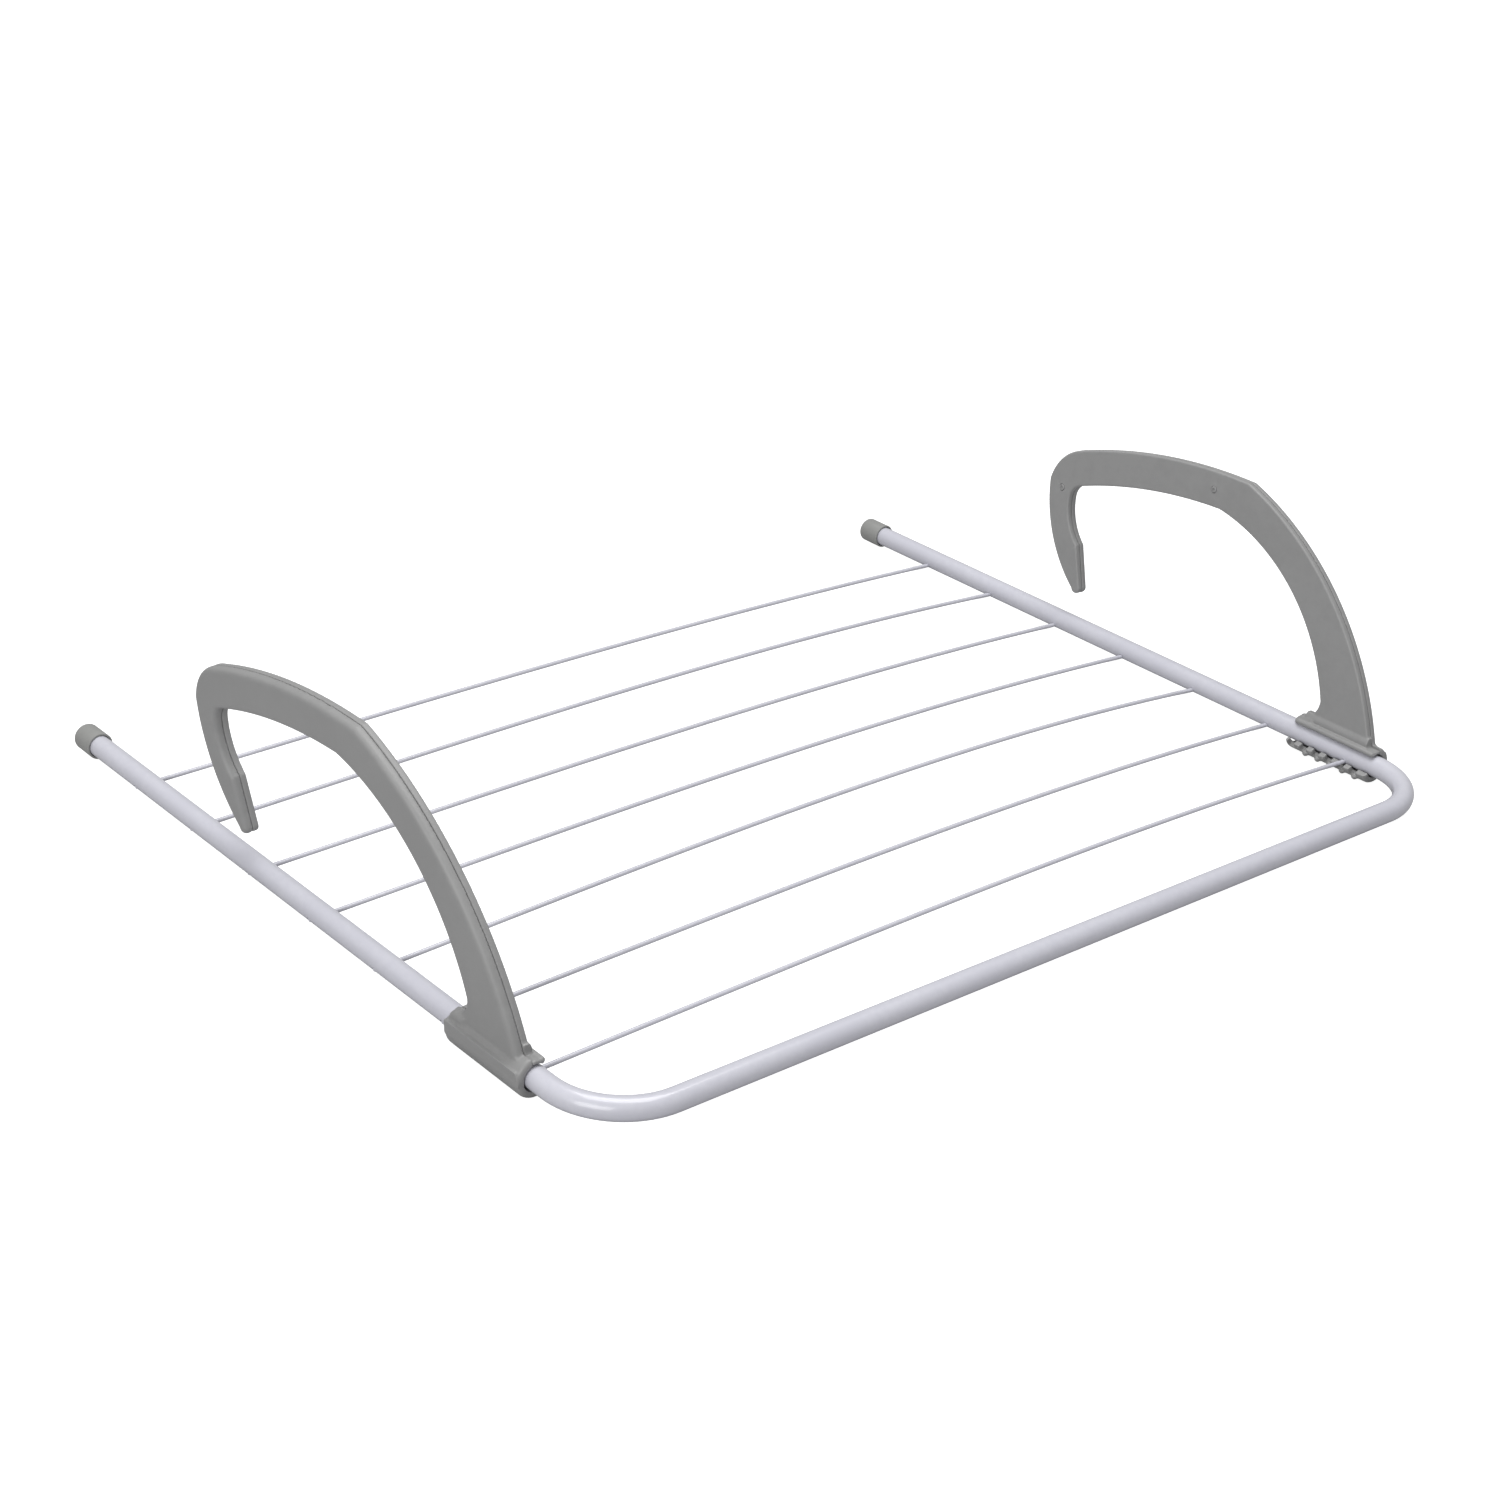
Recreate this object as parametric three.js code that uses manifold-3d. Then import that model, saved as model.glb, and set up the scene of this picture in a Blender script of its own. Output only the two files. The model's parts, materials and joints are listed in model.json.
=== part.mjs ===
// Hook-over airer: a U-shaped tube tray with seven drying wires, held by two plastic hook arms
// that clip round the side legs and fold inwards over the tray for storage.
// Millimetres. +X runs across the tray, +Y runs back along its legs, +Z is up.
import * as THREE from 'three';
import { mergeVertices } from 'three/addons/utils/BufferGeometryUtils.js';
import Module from 'manifold-3d';

const wasm = await Module();
wasm.setup();

// ---- Tray ----
const LEG_SPACING = 600;
const LEG_LENGTH = 491;
const TUBE_RADIUS = 6.25;
const TUBE_WALL = 1;
const BEND_RADIUS = 42;
const BEND_STEPS = 8;
const TUBE_SIDES = 20;

const WIRE_RADIUS = 1.3;
const WIRE_DROP = 3;
const WIRE_CLEARANCE = 0.3;
const FRONT_WIRE_Y = 61;
const WIRE_PITCH = 60.6;
// The rise of each wire at mid-span, from the rear wire to the front one.
const WIRE_CROWNS = [4.6, 7.4, 6.3, 7.5, 11, 7.2, 6.6];
// The rise leans towards the right leg by this share of itself.
const WIRE_SKEW = 0.35;
const WIRE_SIDES = 8;
const WIRE_STEPS = 14;
const DRILL_SIDES = 8;
const DRILL_OVERRUN = 2;
const WIRE_REACH = LEG_SPACING / 2 + 5.3;

const CAP_RADIUS = 7.8;
const CAP_LENGTH = 18;
const CAP_END = 2;
const CAP_ROUNDING = 2.6;
const CAP_ROUNDING_STEPS = 5;
const CAP_CLEARANCE = 0.3;
const CAP_MOUTH_BEVEL = 0.5;

// ---- Hook arm, in a section across the leg: +X points outwards, the leg's axis is at 0 ----
const ARM_LEAN = 4.4;
const BLADE_OUTER = 6.8;
const BLADE_SEAM = 0.6;
const BLADE_INNER = -2.2;
const SEAM_GAP = 0.3;
const EDGE_ROUNDING = 2.2;
const PLATE_ROUNDING = 0.8;
const ROUNDING_STEPS = 2;
const ARM_REACH = 400;

// ---- Clip that wraps the leg ----
const CLIP_BORE = TUBE_RADIUS + 1.05;
const CLIP_RADIUS = 11;
const CLIP_FRONT = BEND_RADIUS;
const CLIP_LENGTH = 61;
const CLIP_STEPS = 22;
const CLIP_WALL_HEIGHT = 9;
const CLIP_WALL_PROUD = 3.2;
const BORE_SIDES = 28;
const BORE_OVERRUN = 2;
const LIP_END_ANGLE = 128;
const LIP_THICKNESS = 2.2;
const LIP_RIDGE_RADIUS = 1.7;
const LIP_RIDGE_ANGLE = LIP_END_ANGLE - 7;
const LIP_RIDGE_SIDES = 12;
const LIP_RIDGE_SINK = 0.5;
const LIP_STEPS = 8;
const LIP_SETBACK = 1;
const LIP_ROOT_HEIGHT = 11.5;
const LIP_ROOT_FOOT = 4;
const COMB_TOP_ANGLE = 207;
const COMB_ROOT_ANGLE = 236;
const COMB_PITCH = 9.4;
const COMB_FIRST = FRONT_WIRE_Y - COMB_PITCH;
const COMB_NOTCHES = 6;
const COMB_NOTCH_WIDTH = 4.2;
const COMB_NOTCH_TOP_ANGLE = COMB_TOP_ANGLE - 12;
const COMB_NOTCH_STEPS = 6;
const COMB_NOTCH_OVERRUN = 3;
const COMB_NUB_RADIUS = 2.1;
const COMB_NUB_SIDES = 8;
const COMB_NUB_ANGLE = COMB_ROOT_ANGLE + 4;
const COMB_NUB_SINK = 0.4;
// The left arm stands one notch further back than the right one.
const LEFT_ARM_SHIFT = COMB_PITCH;

// ---- Staked pegs that join the two halves of an arm ----
const PEG_RADIUS = 2;
const PEG_CLEARANCE = 0.3;
const PEG_PROUD = 0.35;
const PEG_SIDES = 16;
const PEGS = [[318, 86], [196, 123]];

const OVERLAP = 0.5;

const steel = new THREE.MeshStandardMaterial({ color: 0xe9e8f2, roughness: 0.32, metalness: 0 });
const grey = new THREE.MeshStandardMaterial({ color: 0x8b8d8c, roughness: 0.55, metalness: 0 });

// ---- Solids ----
function toSolid(geometry) {
  const bare = geometry.clone();
  bare.deleteAttribute('normal');
  bare.deleteAttribute('uv');
  const merged = mergeVertices(bare, 1e-4);
  return new wasm.Manifold(new wasm.Mesh({
    numProp: 3,
    vertProperties: new Float32Array(merged.attributes.position.array),
    triVerts: new Uint32Array(merged.index.array),
  }));
}

function toGeometry(solid) {
  const mesh = solid.getMesh();
  const geometry = new THREE.BufferGeometry();
  geometry.setAttribute('position', new THREE.BufferAttribute(mesh.vertProperties, 3));
  geometry.setIndex(new THREE.BufferAttribute(mesh.triVerts, 1));
  geometry.computeVertexNormals();
  return geometry;
}

function named(name, geometry, material) {
  const mesh = new THREE.Mesh(geometry, material);
  mesh.name = name;
  return mesh;
}

function box(lowX, lowY, lowZ, highX, highY, highZ) {
  const geometry = new THREE.BoxGeometry(highX - lowX, highY - lowY, highZ - lowZ);
  return geometry.translate((lowX + highX) / 2, (lowY + highY) / 2, (lowZ + highZ) / 2);
}

function rodAlongX(radius, lowX, highX, y, z, sides) {
  const geometry = new THREE.CylinderGeometry(radius, radius, highX - lowX, sides);
  return geometry.rotateZ(Math.PI / 2).translate((lowX + highX) / 2, y, z);
}

function circle(radius, sides) {
  const points = [];
  for (let i = 0; i < sides; i++) {
    const angle = 2 * Math.PI * i / sides;
    points.push(new THREE.Vector2(radius * Math.cos(angle), radius * Math.sin(angle)));
  }
  return points;
}

// ---- Tray ----
// A path through given stations: at each one a point, and the way the path runs there.
class StationLine extends THREE.Curve {
  constructor(stations) {
    super();
    this.stations = stations;
  }

  get steps() {
    return this.stations.length - 1;
  }

  getPoint(t, target = new THREE.Vector3()) {
    return target.copy(this.stations[Math.round(t * this.steps)][0]);
  }

  getPointAt(u, target) {
    return this.getPoint(u, target);
  }

  getTangentAt(u, target = new THREE.Vector3()) {
    return target.copy(this.stations[Math.round(u * this.steps)][1]);
  }
}

// The U runs forward along the left leg, round the front bends and back along the right leg.
function trayLine() {
  const half = LEG_SPACING / 2;
  const stations = [];
  const bend = (centreX, from) => {
    for (let i = 0; i <= BEND_STEPS; i++) {
      const angle = from + Math.PI / 2 * i / BEND_STEPS;
      const x = centreX + BEND_RADIUS * Math.cos(angle);
      const y = BEND_RADIUS + BEND_RADIUS * Math.sin(angle);
      stations.push([new THREE.Vector3(x, y, 0), new THREE.Vector3(-Math.sin(angle), Math.cos(angle), 0)]);
    }
  };
  stations.push([new THREE.Vector3(-half, LEG_LENGTH, 0), new THREE.Vector3(0, -1, 0)]);
  bend(BEND_RADIUS - half, Math.PI);
  bend(half - BEND_RADIUS, 3 * Math.PI / 2);
  stations.push([new THREE.Vector3(half, LEG_LENGTH, 0), new THREE.Vector3(0, 1, 0)]);
  return new StationLine(stations);
}

const wireYs = WIRE_CROWNS.map((crown, i) => FRONT_WIRE_Y + WIRE_PITCH * (WIRE_CROWNS.length - 1 - i));

function frameTube() {
  const line = trayLine();
  const section = new THREE.Shape(circle(TUBE_RADIUS, TUBE_SIDES));
  section.holes.push(new THREE.Path(circle(TUBE_RADIUS - TUBE_WALL, TUBE_SIDES)));
  const geometry = new THREE.ExtrudeGeometry(section, { steps: line.steps, extrudePath: line });
  let tube = toSolid(geometry);
  const reach = TUBE_RADIUS + DRILL_OVERRUN;
  for (const y of wireYs) {
    for (const side of [-1, 1]) {
      const x = side * LEG_SPACING / 2;
      const drill = rodAlongX(WIRE_RADIUS + WIRE_CLEARANCE, x - reach, x + reach, y, -WIRE_DROP,
        DRILL_SIDES);
      tube = tube.subtract(toSolid(drill));
    }
  }
  return named('frame_tube', toGeometry(tube), steel);
}

// A wire lies straight inside both legs and rises a little between them.
function wireLine(crown) {
  const free = LEG_SPACING / 2 - TUBE_RADIUS;
  const along = new THREE.Vector3(1, 0, 0);
  const stations = [[new THREE.Vector3(-WIRE_REACH, 0, 0), along]];
  for (let i = 0; i <= WIRE_STEPS; i++) {
    const across = 2 * i / WIRE_STEPS - 1;
    const rise = crown * (1 - across * across) * (1 + WIRE_SKEW * across);
    stations.push([new THREE.Vector3(free * across, 0, rise), along]);
  }
  stations.push([new THREE.Vector3(WIRE_REACH, 0, 0), along]);
  return new StationLine(stations);
}

// Each end of a wire just passes the outside of its leg, where its lower edge shows as a small bump.
function dryingWire(index) {
  const section = new THREE.Shape(circle(WIRE_RADIUS, WIRE_SIDES));
  const line = wireLine(WIRE_CROWNS[index]);
  const geometry = new THREE.ExtrudeGeometry(section, { steps: line.steps, extrudePath: line });
  const mesh = named(`drying_wire_${index + 1}`, geometry, steel);
  mesh.position.set(0, wireYs[index], -WIRE_DROP);
  return mesh;
}

function endCap(name, side) {
  const bore = TUBE_RADIUS + CAP_CLEARANCE;
  const profile = [new THREE.Vector2(0, CAP_LENGTH)];
  for (let i = 0; i <= CAP_ROUNDING_STEPS; i++) {
    const angle = Math.PI / 2 * (1 - i / CAP_ROUNDING_STEPS);
    const r = CAP_RADIUS - CAP_ROUNDING + CAP_ROUNDING * Math.cos(angle);
    profile.push(new THREE.Vector2(r, CAP_LENGTH - CAP_ROUNDING + CAP_ROUNDING * Math.sin(angle)));
  }
  profile.push(new THREE.Vector2(CAP_RADIUS, CAP_MOUTH_BEVEL));
  profile.push(new THREE.Vector2(CAP_RADIUS - CAP_MOUTH_BEVEL, 0));
  profile.push(new THREE.Vector2(bore, 0));
  profile.push(new THREE.Vector2(bore, CAP_LENGTH - CAP_END));
  profile.push(new THREE.Vector2(0, CAP_LENGTH - CAP_END));
  const cap = named(name, new THREE.LatheGeometry(profile.reverse(), TUBE_SIDES), grey);
  cap.position.set(side * LEG_SPACING / 2, LEG_LENGTH + CAP_END + SEAM_GAP - CAP_LENGTH, 0);
  return cap;
}

// ---- Hook arm ----
// Points of an arc from one point to another that rises by bow to the left of the way it runs.
function arc(from, to, bow, steps) {
  const along = new THREE.Vector2().subVectors(to, from);
  const left = new THREE.Vector2(-along.y, along.x).normalize();
  const half = along.length() / 2;
  const radius = (half * half + bow * bow) / (2 * bow);
  const middle = new THREE.Vector2().addVectors(from, to).multiplyScalar(0.5);
  const centre = middle.clone().addScaledVector(left, bow - radius);
  const sweep = 2 * Math.asin(half / radius);
  const points = [];
  for (let i = 1; i <= steps; i++) {
    points.push(from.clone().rotateAround(centre, -sweep * i / steps));
  }
  return points;
}

// The outline is drawn in the plane of the leg: x is the place along the leg, y the height above it.
function armOutline() {
  const at = (x, y) => new THREE.Vector2(x, y);
  const foot = at(47, 5);
  const outerKnee = at(170.5, 134.5);
  const crest = at(306, 114);
  const back = at(329.5, 89);
  const tipBack = at(297, 24);
  const tipFront = at(290.4, 25.4);
  const notch = at(298.5, 52.5);
  const throatTop = at(310.8, 80);
  const innerCorner = at(303.5, 91);
  const innerKnee = at(189.5, 112.3);
  const heel = at(88.8, 24);
  const heelFoot = at(96, 12);
  return [
    foot,
    ...arc(foot, outerKnee, 21.5, 12),
    ...arc(outerKnee, crest, 6, 5),
    ...arc(crest, back, 5, 6),
    ...arc(back, tipBack, 7.8, 6),
    ...arc(tipBack, tipFront, 3.2, 5),
    notch,
    ...arc(notch, throatTop, -3.2, 4),
    ...arc(throatTop, innerCorner, -2.2, 3),
    ...arc(innerCorner, innerKnee, -4.6, 5),
    ...arc(innerKnee, heel, -19.3, 10),
    ...arc(heel, heelFoot, -2.2, 3),
    at(96, 5),
  ];
}

// A slab of the outline between two planes across the arm, with its outside edges rounded.
function bladeSlab(lowX, highX, rounding, roundLow) {
  const start = roundLow ? lowX : lowX - 2 * rounding;
  const geometry = new THREE.ExtrudeGeometry(new THREE.Shape(armOutline().reverse()), {
    depth: highX - lowX,
    bevelEnabled: true,
    bevelThickness: rounding,
    bevelSize: rounding,
    bevelOffset: -rounding,
    bevelSegments: ROUNDING_STEPS,
    steps: 1,
  });
  // Swing the drawing upright, so that its x runs along +Y, its y along +Z and its depth along +X.
  geometry.translate(0, 0, rounding);
  geometry.applyMatrix4(new THREE.Matrix4().set(0, 0, 1, start, 1, 0, 0, 0, 0, 1, 0, 0, 0, 0, 0, 1));
  return toSolid(geometry).intersect(toSolid(box(lowX, 0, 0, highX, ARM_REACH, ARM_REACH)));
}

// A slice of a ring round the leg, between two angles measured from outwards through up.
function ringSlice(innerRadius, outerRadius, fromAngle, toAngle, lowY, highY, steps) {
  const points = [];
  const push = (radius, angle) => {
    const turn = THREE.MathUtils.degToRad(angle);
    points.push(new THREE.Vector2(radius * Math.cos(turn), radius * Math.sin(turn)));
  };
  for (let i = 0; i <= steps; i++) {
    push(outerRadius, fromAngle + (toAngle - fromAngle) * i / steps);
  }
  for (let i = steps; i >= 0; i--) {
    push(innerRadius, fromAngle + (toAngle - fromAngle) * i / steps);
  }
  const geometry = new THREE.ExtrudeGeometry(new THREE.Shape(points), {
    depth: highY - lowY,
    bevelEnabled: false,
    steps: 1,
  });
  return toSolid(geometry.rotateX(Math.PI / 2).translate(0, highY, 0));
}

function rodAlongY(radius, lowY, highY, x, z, sides) {
  const geometry = new THREE.CylinderGeometry(radius, radius, highY - lowY, sides);
  return toSolid(geometry.translate(x, (lowY + highY) / 2, z));
}

function polar(radius, angle) {
  const turn = THREE.MathUtils.degToRad(angle);
  return [radius * Math.cos(turn), radius * Math.sin(turn)];
}

const clipBack = CLIP_FRONT + CLIP_LENGTH;
const legBore = () => rodAlongY(CLIP_BORE, CLIP_FRONT - BORE_OVERRUN,
  clipBack + BORE_OVERRUN, 0, 0, BORE_SIDES);

function combNotches() {
  const cuts = [];
  for (let i = 0; i < COMB_NOTCHES; i++) {
    const y = COMB_FIRST + i * COMB_PITCH;
    const half = COMB_NOTCH_WIDTH / 2;
    cuts.push(ringSlice(CLIP_BORE - COMB_NOTCH_OVERRUN, CLIP_RADIUS + COMB_NOTCH_OVERRUN,
      COMB_NOTCH_TOP_ANGLE, COMB_ROOT_ANGLE, y - half, y + half, COMB_NOTCH_STEPS));
  }
  return cuts;
}

function combNubs() {
  const [x, z] = polar(CLIP_RADIUS - COMB_NUB_SINK, COMB_NUB_ANGLE);
  const nubs = [];
  for (let i = 0; i < COMB_NOTCHES - 1; i++) {
    const nub = new THREE.SphereGeometry(COMB_NUB_RADIUS, COMB_NUB_SIDES, COMB_NUB_SIDES - 2);
    nubs.push(toSolid(nub.translate(x, COMB_FIRST + i * COMB_PITCH, z)));
  }
  return nubs;
}

// The outer half: the blade's rounded outside, the clip round and under the leg, and the comb.
function outerShell() {
  let shell = bladeSlab(BLADE_SEAM, BLADE_OUTER, EDGE_ROUNDING, false);
  const seamAngle = 90 - THREE.MathUtils.radToDeg(Math.asin(BLADE_SEAM / CLIP_RADIUS));
  shell = shell.add(ringSlice(CLIP_BORE - OVERLAP, CLIP_RADIUS, COMB_TOP_ANGLE - 360, seamAngle,
    CLIP_FRONT, clipBack, CLIP_STEPS));
  const shoulder = box(BLADE_SEAM, CLIP_FRONT, 0, BLADE_OUTER + CLIP_WALL_PROUD, clipBack,
    CLIP_WALL_HEIGHT);
  shell = shell.add(toSolid(shoulder));
  for (const nub of combNubs()) {
    shell = shell.add(nub);
  }
  for (const cut of combNotches()) {
    shell = shell.subtract(cut);
  }
  for (const [y, z] of PEGS) {
    const peg = rodAlongX(PEG_RADIUS, BLADE_INNER - PEG_PROUD, BLADE_SEAM + OVERLAP, y, z, PEG_SIDES);
    shell = shell.add(toSolid(peg));
  }
  return shell.subtract(legBore());
}

// The inner half: a thin plate on the blade, with the lip that closes over the top of the leg.
function innerPlate() {
  const plateOuter = BLADE_SEAM - SEAM_GAP;
  let plate = bladeSlab(BLADE_INNER, plateOuter, PLATE_ROUNDING, true);
  const lipRadius = CLIP_BORE + LIP_THICKNESS;
  const startAngle = 90 - THREE.MathUtils.radToDeg(Math.asin(plateOuter / lipRadius));
  plate = plate.add(ringSlice(CLIP_BORE - OVERLAP, lipRadius, startAngle, LIP_END_ANGLE,
    CLIP_FRONT, clipBack, LIP_STEPS));
  const ridgeFront = CLIP_FRONT + LIP_SETBACK;
  plate = plate.add(toSolid(box(BLADE_INNER, ridgeFront, LIP_ROOT_FOOT, plateOuter, clipBack,
    LIP_ROOT_HEIGHT)));
  const [ridgeX, ridgeZ] = polar(lipRadius - LIP_RIDGE_SINK, LIP_RIDGE_ANGLE);
  plate = plate.add(rodAlongY(LIP_RIDGE_RADIUS, ridgeFront, clipBack - LIP_SETBACK, ridgeX, ridgeZ,
    LIP_RIDGE_SIDES));
  const seamCut = box(plateOuter, 0, -CLIP_RADIUS, plateOuter + CLIP_RADIUS, ARM_REACH, ARM_REACH);
  plate = plate.subtract(toSolid(seamCut));
  for (const [y, z] of PEGS) {
    const hole = rodAlongX(PEG_RADIUS + PEG_CLEARANCE, BLADE_INNER - OVERLAP, BLADE_SEAM, y, z,
      PEG_SIDES);
    plate = plate.subtract(toSolid(hole));
  }
  return plate.subtract(legBore());
}

// Both arms share one pair of drawings; the left one is the right one mirrored.
function hookArm(sideName, side, shift) {
  const mirror = (solid) => (side < 0 ? solid.mirror([1, 0, 0]) : solid);
  const arm = new THREE.Group();
  arm.add(named(`${sideName}_hook_shell`, toGeometry(mirror(outerShell())), grey));
  arm.add(named(`${sideName}_hook_plate`, toGeometry(mirror(innerPlate())), grey));
  arm.position.set(side * LEG_SPACING / 2, shift, 0);
  arm.rotation.y = THREE.MathUtils.degToRad(side * ARM_LEAN);
  return arm;
}

const rack = new THREE.Group();
rack.add(frameTube());
rack.add(endCap('left_end_cap', -1));
rack.add(endCap('right_end_cap', 1));
for (let i = 0; i < WIRE_CROWNS.length; i++) {
  rack.add(dryingWire(i));
}
rack.add(hookArm('left', -1, LEFT_ARM_SHIFT));
rack.add(hookArm('right', 1, 0));

// The origin is the middle of the underside of the whole airer.
rack.updateMatrixWorld(true);
const extent = new THREE.Box3().setFromObject(rack, true);
const middle = extent.getCenter(new THREE.Vector3());
rack.position.set(0, -middle.y, -extent.min.z);

export default rack;
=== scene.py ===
"""A hook-over airer: a white U-shaped tube tray strung with seven wires, and two grey moulded
hook arms that clip round its side legs and fold inwards over the tray.

Sizes are in millimetres, and mm() turns them into Blender's metres. The leg frame has its
origin on a leg's axis, level with the axis of the front tube: Y runs back along the leg.
"""
import json
import math

import bpy
from mathutils import Euler, Matrix, Vector


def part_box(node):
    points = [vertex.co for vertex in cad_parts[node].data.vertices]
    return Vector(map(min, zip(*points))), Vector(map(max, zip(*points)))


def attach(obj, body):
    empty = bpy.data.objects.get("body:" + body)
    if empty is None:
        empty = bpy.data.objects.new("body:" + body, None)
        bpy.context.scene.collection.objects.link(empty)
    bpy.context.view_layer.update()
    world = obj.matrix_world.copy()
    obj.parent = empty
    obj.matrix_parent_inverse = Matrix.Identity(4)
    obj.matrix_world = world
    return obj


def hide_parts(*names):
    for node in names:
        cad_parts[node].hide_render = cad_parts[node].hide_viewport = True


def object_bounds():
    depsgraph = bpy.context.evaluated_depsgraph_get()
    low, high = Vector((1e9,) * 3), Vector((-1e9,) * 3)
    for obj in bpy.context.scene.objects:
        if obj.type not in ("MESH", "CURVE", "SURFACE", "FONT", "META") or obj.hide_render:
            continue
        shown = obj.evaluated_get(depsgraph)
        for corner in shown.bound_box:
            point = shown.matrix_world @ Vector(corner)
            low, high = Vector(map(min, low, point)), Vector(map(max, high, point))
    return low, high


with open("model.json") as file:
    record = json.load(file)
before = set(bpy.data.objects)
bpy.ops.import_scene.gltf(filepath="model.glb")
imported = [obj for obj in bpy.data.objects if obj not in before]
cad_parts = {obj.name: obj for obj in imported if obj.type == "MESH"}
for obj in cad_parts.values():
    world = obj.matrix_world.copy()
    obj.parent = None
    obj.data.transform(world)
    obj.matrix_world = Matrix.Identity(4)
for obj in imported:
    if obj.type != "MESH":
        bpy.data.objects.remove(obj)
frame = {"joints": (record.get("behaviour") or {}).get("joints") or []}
cad_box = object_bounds()

# ---- Tray ----
TUBE_RADIUS = 6.25
TUBE_WALL = 1.0
TUBE_SIDES = 56
BEND_RADIUS = 42.0
BEND_STEPS = 20
WIRE_RADIUS = 1.3
WIRE_DROP = 3.0
WIRE_SIDES = 20
WIRE_STEPS = 28
WIRE_CROWNS = [4.6, 7.4, 6.3, 7.5, 11.0, 7.2, 6.6]
WIRE_SKEW = 0.35
WIRE_END_ROUNDING = 0.45
DRILL_CLEARANCE = 0.12
DRILL_OVERRUN = 2.0
DRILL_COLLAR = 3.0
CAP_RADIUS = 7.8
CAP_LENGTH = 18.0
CAP_END = 2.0
CAP_ROUNDING = 2.6
CAP_CLEARANCE = 0.35
CAP_MOUTH_ROUNDING = 0.35
CAP_MOUTH_MARGIN = 0.1

# ---- Hook arm, drawn upright beside a leg whose axis is the Y axis; +X points outwards ----
ARM_LEAN = math.radians(4.4)
SHELL_OUTER = 6.8
SHELL_SEAM = 1.8
PLATE_SEAM = 1.6
PLATE_INNER = -2.2
SHELL_ROUNDING = 3.0
PLATE_ROUNDING = 0.8
CLIP_BORE = 7.25
CLIP_RADIUS = 11.0
CLIP_FRONT = 42.0
CLIP_BACK = 103.0
CLIP_ROUNDING = 2.2
CLIP_SIDES = 72
BORE_SIDES = 96
BORE_OVERRUN = 5.0
CREASE_FRONT = 12.3
CREASE_FALL = 5.7
CREASE_OUT = 10.6
HEEL_OUTER = 8.4
HEEL_INNER = -4.4
HEEL_ROUNDING = 2.6
LIP_RADIUS = 9.5
LIP_BACK = CLIP_BACK - 1.5
LIP_ROUNDING = 0.9
LIP_START_ANGLE = 78
LIP_END_ANGLE = 128
LIP_STEP_ANGLE = 2
RIDGE_RADIUS = 1.6
RIDGE_SUNK = 0.5
RIDGE_ROUNDING = 1.4
RIDGE_SIDES = 28
RIDGE_ANGLE = 120
FILLET_SHORTER = 7.0
FILLET_FOOT = -3.2
COMB_TOP_ANGLE = 207.0
COMB_ROOT_ANGLE = 236.0
COMB_FIRST = 51.6
COMB_PITCH = 9.4
COMB_NOTCHES = 6
COMB_NOTCH_WIDTH = 5.0
NOTCH_TOP_ANGLE = COMB_TOP_ANGLE - 12
NOTCH_INNER = 5.0
NOTCH_OUTER = 15.0
NUB_RADIUS = 2.0
NUB_SUNK = 0.4
NUB_ANGLE = COMB_ROOT_ANGLE + 4
PEG_RADIUS = 2.0
PEG_SIDES = 36
PEG_ROOT = 1.5
PEG_PROUD = 0.35
PEG_ROUNDING = 0.3
PEG_RIM = 0.7
PEG_DIMPLE = 0.4
PEG_GAP = 0.3
PEGS = [(318.0, 86.0), (196.0, 123.0)]
CUT_REACH = 20.0

# ---- How a moulding is melted together, and how finely faces and points are told apart ----
VOXEL = 0.55
SOFTENING = 0.5
SOFTENING_PASSES = 3
KEPT_FACES = 0.3
SAME_PLACE = 0.001
FACING = 0.99
CREASE_ANGLE = math.radians(35)


def mm(*sizes):
    """Millimetres to metres: one size as a number, several as a vector."""
    if len(sizes) == 1:
        return sizes[0] * 0.001
    return Vector(sizes) * 0.001


# ---- Where things are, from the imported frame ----
tube_low, tube_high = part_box("frame_tube")
left_leg_x = tube_low.x + mm(TUBE_RADIUS)
right_leg_x = tube_high.x - mm(TUBE_RADIUS)
leg_z = (tube_low.z + tube_high.z) / 2
front_y = tube_low.y + mm(TUBE_RADIUS)
leg_end_y = tube_high.y


def wire_y(number):
    """How far back a wire lies."""
    low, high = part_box(f"drying_wire_{number}")
    return (low.y + high.y) / 2


# ---- Modelling moves ----
def only(piece):
    """Makes piece the one selected object."""
    bpy.ops.object.select_all(action="DESELECT")
    piece.select_set(True)
    bpy.context.view_layer.objects.active = piece


def added(name):
    """Names the primitive that was just added."""
    piece = bpy.context.object
    piece.name = name
    piece.data.name = name
    return piece


def edit(piece, all_selected=True):
    """Opens a piece in edit mode, with all of its faces selected or none."""
    only(piece)
    bpy.ops.object.mode_set(mode="EDIT")
    bpy.ops.mesh.select_mode(type="FACE")
    bpy.ops.mesh.select_all(action="SELECT" if all_selected else "DESELECT")


def finish_edit():
    """Goes back to object mode."""
    bpy.ops.object.mode_set(mode="OBJECT")


def pick_faces(piece, wanted):
    """In edit mode: selects the faces whose centre and normal, in the scene's axes, are wanted."""
    bpy.ops.object.mode_set(mode="OBJECT")
    place = piece.matrix_world
    for face in piece.data.polygons:
        face.select = wanted(place @ face.center, (place.to_3x3() @ face.normal).normalized())
    bpy.ops.object.mode_set(mode="EDIT")


def extrude(by):
    """Extrudes what is selected, by a vector in metres."""
    bpy.ops.mesh.extrude_region_move(TRANSFORM_OT_translate={"value": by})


def recalculate_normals(piece):
    """Merges doubled points, and turns every face outwards."""
    edit(piece)
    bpy.ops.mesh.remove_doubles(threshold=mm(SAME_PLACE))
    bpy.ops.mesh.normals_make_consistent(inside=False)
    finish_edit()


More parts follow.
